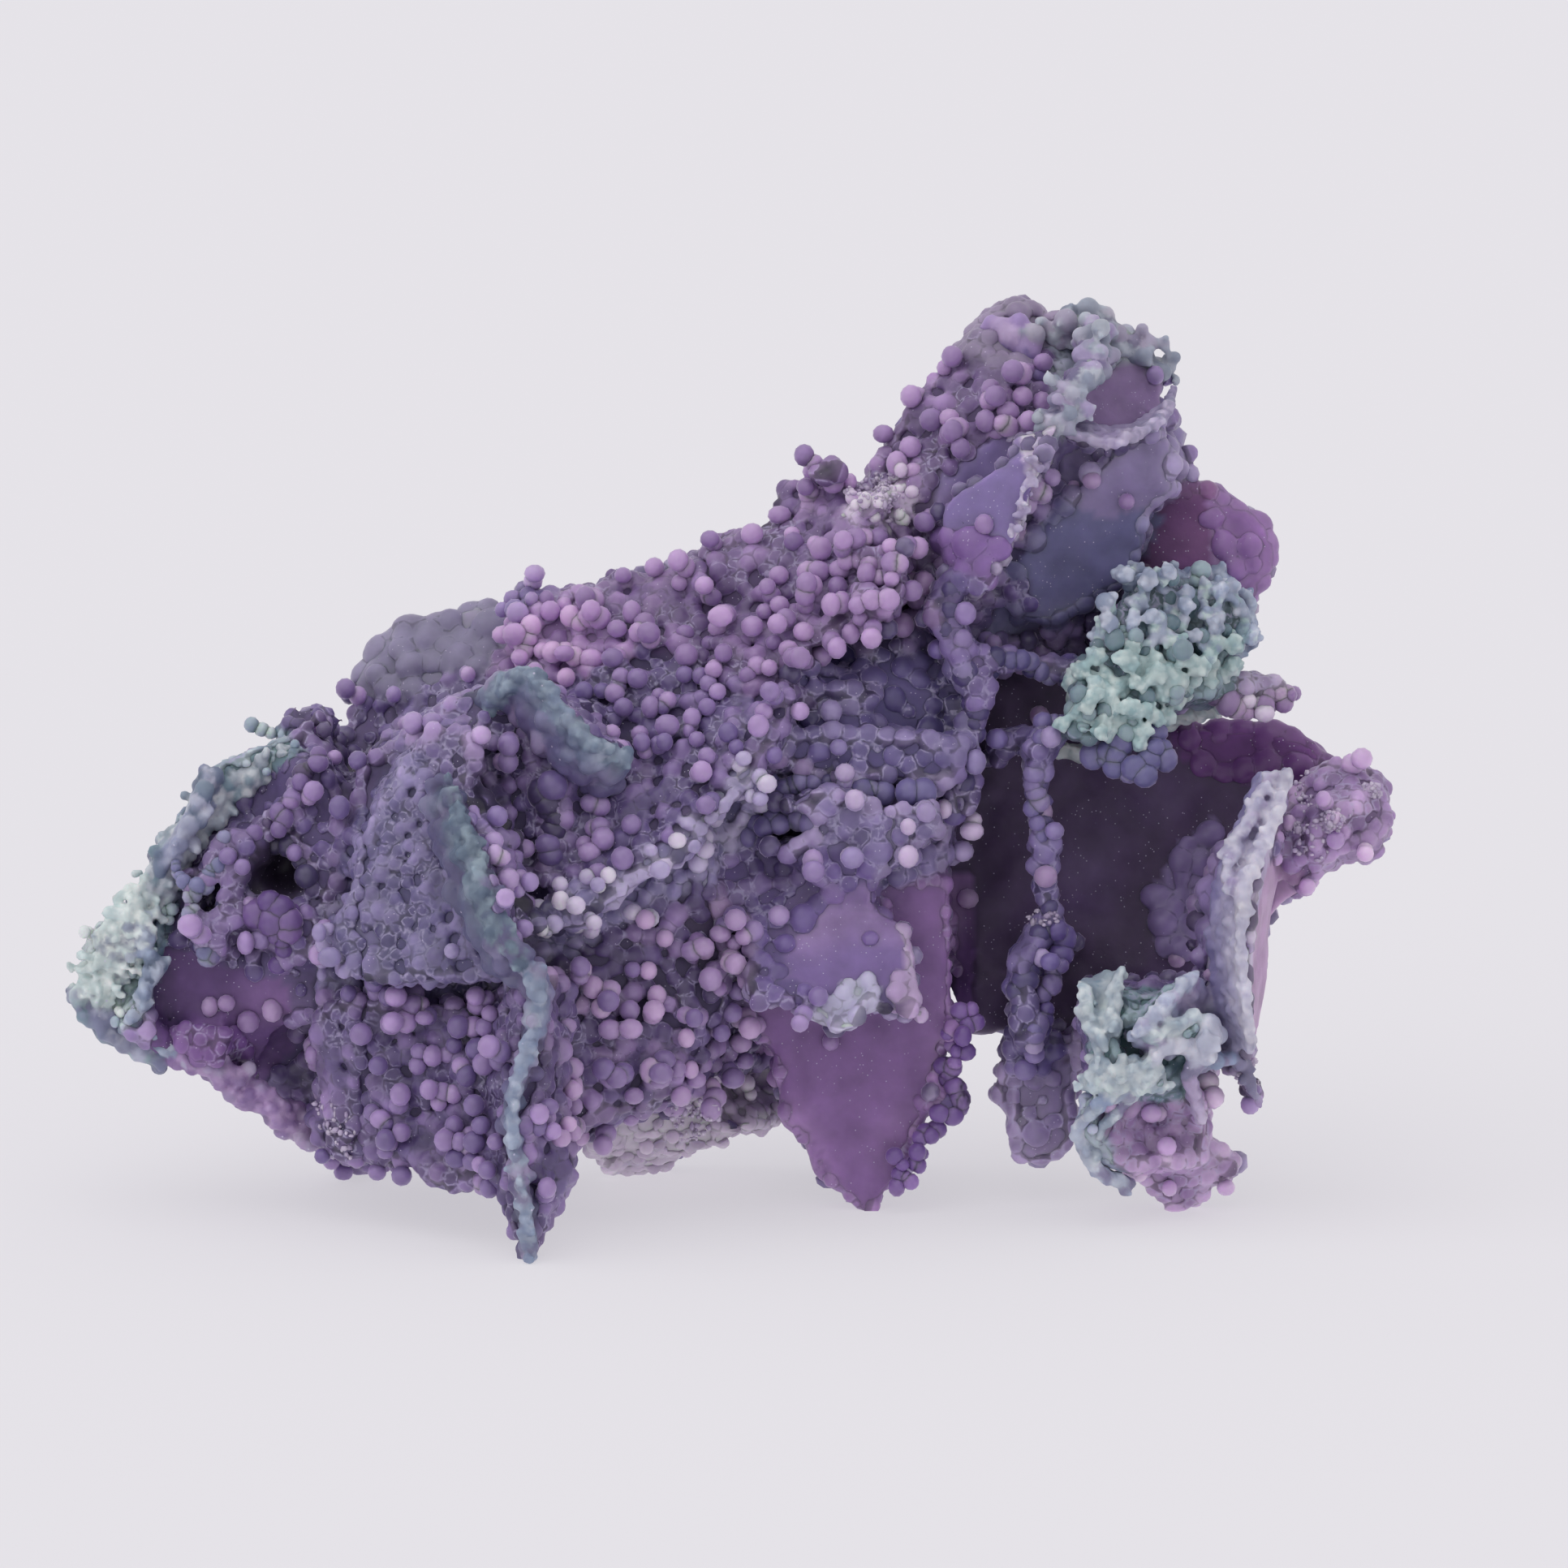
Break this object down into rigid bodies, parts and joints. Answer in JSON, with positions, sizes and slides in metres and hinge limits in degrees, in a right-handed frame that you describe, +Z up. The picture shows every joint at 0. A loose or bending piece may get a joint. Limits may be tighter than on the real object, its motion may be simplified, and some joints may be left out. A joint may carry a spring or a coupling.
{
  "type": "botryoidal chalcedony specimen",
  "caption": "Purple botryoidal chalcedony hand specimen: upright blades and shelves covered in small grape-like spheres, with blue-green crests, standing on its lowest lobes.",
  "frame": {"origin": "middle of the bounding box's foot, on the plane the specimen rests on", "axes": "+X to the right along its longest way as seen on its best face, +Y away from that face, +Z up"},
  "size_m": [0.1356, 0.0592, 0.0913],
  "materials": {
    "chalcedony": "translucent purple chalcedony with a fine druzy skin, blue-green to mint on its crests"
  },
  "bodies": {
    "root": {"chalcedony": "chalcedony"}
  },
  "joints": []
}
